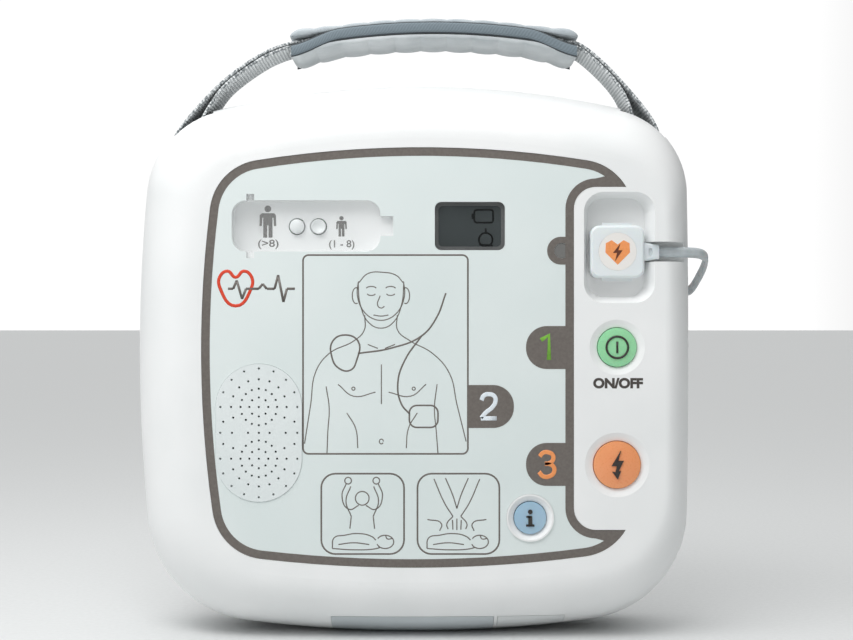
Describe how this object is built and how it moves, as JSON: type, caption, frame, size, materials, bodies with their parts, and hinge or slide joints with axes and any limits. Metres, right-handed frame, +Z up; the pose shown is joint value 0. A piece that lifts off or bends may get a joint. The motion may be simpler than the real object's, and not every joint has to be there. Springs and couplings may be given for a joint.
{
  "type": "automated external defibrillator",
  "caption": "Upright public-access defibrillator with a rounded white case, webbing carry handle, control strip with push buttons, plugged pads lead, rear battery pack and pads bay.",
  "frame": {"origin": "midway across and through the case, at the level of its flat underside", "axes": "+X to the right seen from the front, +Y from the front to the back, +Z up along the height to the handle"},
  "size_m": [0.2685, 0.0694, 0.2867],
  "materials": {
    "white_abs": "fine moulded texture",
    "overlay_film": "printed satin film",
    "grille_abs": "moulded",
    "clear_cover": "clear moulded",
    "display_window": "gloss",
    "display_glass": "gloss",
    "lamp_lens": "tinted lens",
    "green_button": "translucent moulded",
    "orange_button": "translucent moulded",
    "blue_button": "translucent moulded",
    "plug_plastic": "moulded",
    "badge": "printed disc",
    "lead_grey": "soft jacket",
    "black_plastic": "moulded",
    "strip_grey": "tinted moulded",
    "webbing": "woven polyester",
    "grip_upper": "moulded soft pad",
    "grip_lower": "moulded soft pad",
    "board": "solder mask",
    "steel": "plated",
    "brass_contact": "plated",
    "rubber_dark": "moulded",
    "gasket": "moulded",
    "battery_case": "moulded",
    "cell_wrap": "shrink sleeve",
    "capacitor_box": "moulded box",
    "ferrite": "wound",
    "copper_winding": "enamelled wire",
    "relay_case": "moulded",
    "heatsink": "extruded",
    "tray_fibre": "sheet",
    "pouch_foil": "foil laminate"
  },
  "bodies": {
    "case": {"backup_cell": "steel", "bay_contacts": "brass_contact", "board_connector": "black_plastic", "board_screws": "steel", "bridge_heatsink": "heatsink", "bridge_relay": "relay_case", "bridge_transistors": "black_plastic", "card_socket": "steel", "charging_transformer": "ferrite", "connector_lamp": "lamp_lens", "display_board": "board", "display_module": "display_glass", "display_window": "display_window", "front_shell": "white_abs", "handle_webbing": "webbing", "high_voltage_capacitor": "capacitor_box", "infrared_module": "black_plastic", "infrared_window": "strip_grey", "insulating_tray": "tray_fibre", "key_switches": "black_plastic", "memory_card": "black_plastic", "microphone": "steel", "output_choke": "copper_winding", "overlay_panel": "overlay_film", "pads_pouch": "pouch_foil", "pads_socket": "black_plastic", "power_board": "board", "rear_shell": "white_abs", "rubber_feet": "rubber_dark", "selector_switch": "black_plastic", "shell_gasket": "gasket", "shell_screws": "steel", "socket_pins": "brass_contact", "speaker_driver": "black_plastic", "speaker_grille": "grille_abs", "strap_bars": "steel"},
    "power_key": {"power_button": "green_button"},
    "shock_key": {"shock_button": "orange_button"},
    "info_key": {"info_button": "blue_button"},
    "rocker": {"selector_rocker": "grille_abs"},
    "cover": {"selector_cover": "clear_cover"},
    "pads_plug": {"plug_cap": "plug_plastic", "plug_nose": "plug_plastic", "plug_badge": "badge", "strain_relief": "plug_plastic", "pads_lead": "lead_grey"},
    "battery_pack": {"battery_case": "battery_case", "battery_lid": "battery_case", "battery_terminals": "brass_contact", "battery_cells": "cell_wrap"},
    "battery_catch": {"battery_latch": "strip_grey"},
    "door": {"pads_door": "white_abs", "door_hinge_pins": "steel"},
    "door_catch": {"door_latch": "strip_grey"},
    "card_flap": {"card_cover": "white_abs"},
    "grip": {"grip_upper": "grip_upper", "grip_lower": "grip_lower"}
  },
  "joints": [
    {"name": "power_press", "type": "slide", "parent": "case", "child": "power_key", "axis": [0, 1, 0], "range_m": [0, 0.0012], "stiffness_N_per_m": 600},
    {"name": "shock_press", "type": "slide", "parent": "case", "child": "shock_key", "axis": [0, 1, 0], "range_m": [0, 0.0012], "stiffness_N_per_m": 600},
    {"name": "info_press", "type": "slide", "parent": "case", "child": "info_key", "axis": [0, 1, 0], "range_m": [0, 0.0012], "stiffness_N_per_m": 600},
    {"name": "selector_rock", "type": "hinge", "parent": "case", "child": "rocker", "pos_m": [-0.0481, -0.0255, 0.18895], "axis": [0, 0, -1], "range_deg": [0, 7]},
    {"name": "cover_tip", "type": "hinge", "parent": "case", "child": "cover", "pos_m": [-0.0739, -0.0326, 0.18895], "axis": [0, 0, -1], "range_deg": [0, 50]},
    {"name": "plug_pull", "type": "slide", "parent": "case", "child": "pads_plug", "axis": [0, -1, 0], "range_m": [0, 0.014], "deforming": ["pads_lead"]},
    {"name": "battery_slide", "type": "slide", "parent": "case", "child": "battery_pack", "axis": [0, 1, 0], "range_m": [0, 0.03]},
    {"name": "battery_catch_press", "type": "slide", "parent": "battery_pack", "child": "battery_catch", "axis": [0, 0, -1], "range_m": [0, 0.0022], "stiffness_N_per_m": 400},
    {"name": "door_swing", "type": "hinge", "parent": "case", "child": "door", "pos_m": [-0.0938, 0.0318, 0.166], "axis": [0, 0, 1], "range_deg": [0, 95]},
    {"name": "door_catch_slide", "type": "slide", "parent": "door", "child": "door_catch", "axis": [-1, 0, 0], "range_m": [0, 0.0022], "stiffness_N_per_m": 400},
    {"name": "card_cover_pull", "type": "slide", "parent": "case", "child": "card_flap", "axis": [0, -1, 0], "range_m": [0, 0.008]},
    {"name": "handle_flex", "type": "slide", "parent": "case", "child": "grip", "axis": [0, 0, 1], "range_m": [-0.014, 0.003], "stiffness_N_per_m": 600, "deforming": ["handle_webbing"]}
  ]
}
